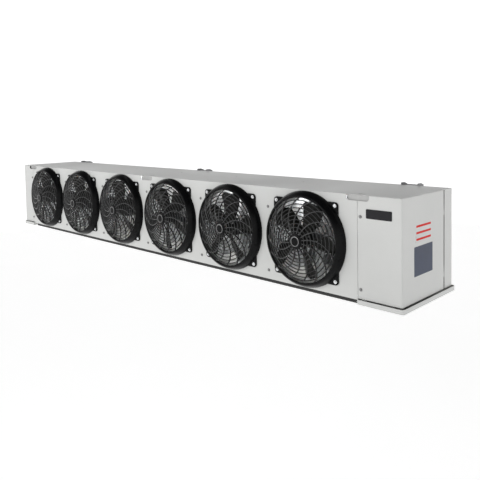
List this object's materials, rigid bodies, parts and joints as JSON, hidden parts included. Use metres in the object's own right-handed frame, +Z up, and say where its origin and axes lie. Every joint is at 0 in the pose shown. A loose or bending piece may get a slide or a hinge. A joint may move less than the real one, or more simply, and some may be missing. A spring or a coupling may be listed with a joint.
{
  "type": "walk-in unit cooler",
  "caption": "Long low-profile ceiling-hung evaporator with a row of guarded axial fans, hinged end covers, a finned coil and a drop-down drain pan.",
  "frame": {"origin": "centre of the six-hole hanging pattern, on the top faces of the hanger legs", "axes": "+X along the cabinet from the electrical end to the refrigerant end, +Y from the fan side to the coil side, +Z up"},
  "size_m": [2.777, 0.481, 0.4328],
  "materials": {
    "cabinet_white": "light warm grey powder coat, satin",
    "galvanised": "galvanised sheet",
    "hanger_steel": "dull zinc-plated plate",
    "guard_black": "moulded black plastic",
    "fan_black": "black fan blades and hub",
    "motor_black": "black enamelled motor shell",
    "screw_zinc": "bright zinc-plated screws",
    "fin_aluminium": "bright mill-finish fins",
    "copper": "copper tube",
    "valve_brass": "brass valve body",
    "grommet_rubber": "black rubber",
    "terminal_plastic": "grey moulded terminals",
    "drain_plastic": "threaded drain fitting"
  },
  "bodies": {
    "cabinet": {"distributor": "copper", "expansion_valve": "valve_brass", "fan_panel": "cabinet_white", "fin_pack": "fin_aluminium", "front_hanger_left": "hanger_steel", "front_hanger_middle": "hanger_steel", "front_hanger_right": "hanger_steel", "guard_1": "guard_black", "guard_2": "guard_black", "guard_3": "guard_black", "guard_4": "guard_black", "guard_5": "guard_black", "guard_6": "guard_black", "guard_screws": "screw_zinc", "left_end_sheet": "galvanised", "left_rear_casing": "cabinet_white", "left_return_bends": "copper", "motor_1": "motor_black", "motor_2": "motor_black", "motor_3": "motor_black", "motor_4": "motor_black", "motor_5": "motor_black", "motor_6": "motor_black", "motor_bracket_1": "galvanised", "motor_bracket_2": "galvanised", "motor_bracket_3": "galvanised", "motor_bracket_4": "galvanised", "motor_bracket_5": "galvanised", "motor_bracket_6": "galvanised", "pan_hinge_plates": "galvanised", "panel_screws": "screw_zinc", "partition_1": "galvanised", "partition_2": "galvanised", "partition_3": "galvanised", "partition_4": "galvanised", "partition_5": "galvanised", "pipe_grommets": "grommet_rubber", "rear_hanger_left": "hanger_steel", "rear_hanger_middle": "hanger_steel", "rear_hanger_right": "hanger_steel", "right_end_sheet": "galvanised", "right_rear_casing": "cabinet_white", "right_return_bends": "copper", "roof_panel": "cabinet_white", "suction_header": "copper", "terminal_block": "terminal_plastic", "terminal_box": "galvanised", "terminal_box_lid": "galvanised"},
    "left_cover": {"left_end_cover": "cabinet_white", "left_cover_screws": "screw_zinc"},
    "right_cover": {"right_end_cover": "cabinet_white", "right_cover_screws": "screw_zinc"},
    "drain_pan_assembly": {"drain_pan": "cabinet_white", "drain_fitting": "drain_plastic"},
    "rotor_1": {"fan_1": "fan_black"},
    "rotor_2": {"fan_2": "fan_black"},
    "rotor_3": {"fan_3": "fan_black"},
    "rotor_4": {"fan_4": "fan_black"},
    "rotor_5": {"fan_5": "fan_black"},
    "rotor_6": {"fan_6": "fan_black"}
  },
  "joints": [
    {"name": "fan_1_spin", "type": "hinge", "parent": "cabinet", "child": "rotor_1", "pos_m": [-1.031, -0.2135, -0.1848], "axis": [0, -1, 0], "continuous": true},
    {"name": "fan_2_spin", "type": "hinge", "parent": "cabinet", "child": "rotor_2", "pos_m": [-0.6246, -0.2135, -0.1848], "axis": [0, -1, 0], "continuous": true},
    {"name": "fan_3_spin", "type": "hinge", "parent": "cabinet", "child": "rotor_3", "pos_m": [-0.2182, -0.2135, -0.1848], "axis": [0, -1, 0], "continuous": true},
    {"name": "fan_4_spin", "type": "hinge", "parent": "cabinet", "child": "rotor_4", "pos_m": [0.1882, -0.2135, -0.1848], "axis": [0, -1, 0], "continuous": true},
    {"name": "fan_5_spin", "type": "hinge", "parent": "cabinet", "child": "rotor_5", "pos_m": [0.5946, -0.2135, -0.1848], "axis": [0, -1, 0], "continuous": true},
    {"name": "fan_6_spin", "type": "hinge", "parent": "cabinet", "child": "rotor_6", "pos_m": [1.001, -0.2135, -0.1848], "axis": [0, -1, 0], "continuous": true},
    {"name": "right_cover_hinge", "type": "hinge", "parent": "cabinet", "child": "right_cover", "pos_m": [1.4006, 0.093, -0.1858], "axis": [0, 0, 1], "range_deg": [0, 90]},
    {"name": "left_cover_hinge", "type": "hinge", "parent": "cabinet", "child": "left_cover", "pos_m": [-1.3536, 0.093, -0.1858], "axis": [0, 0, -1], "range_deg": [0, 90]},
    {"name": "drain_pan_hinge", "type": "hinge", "parent": "cabinet", "child": "drain_pan_assembly", "pos_m": [0, 0.164, -0.3748], "axis": [1, 0, 0], "range_deg": [0, 60]}
  ]
}
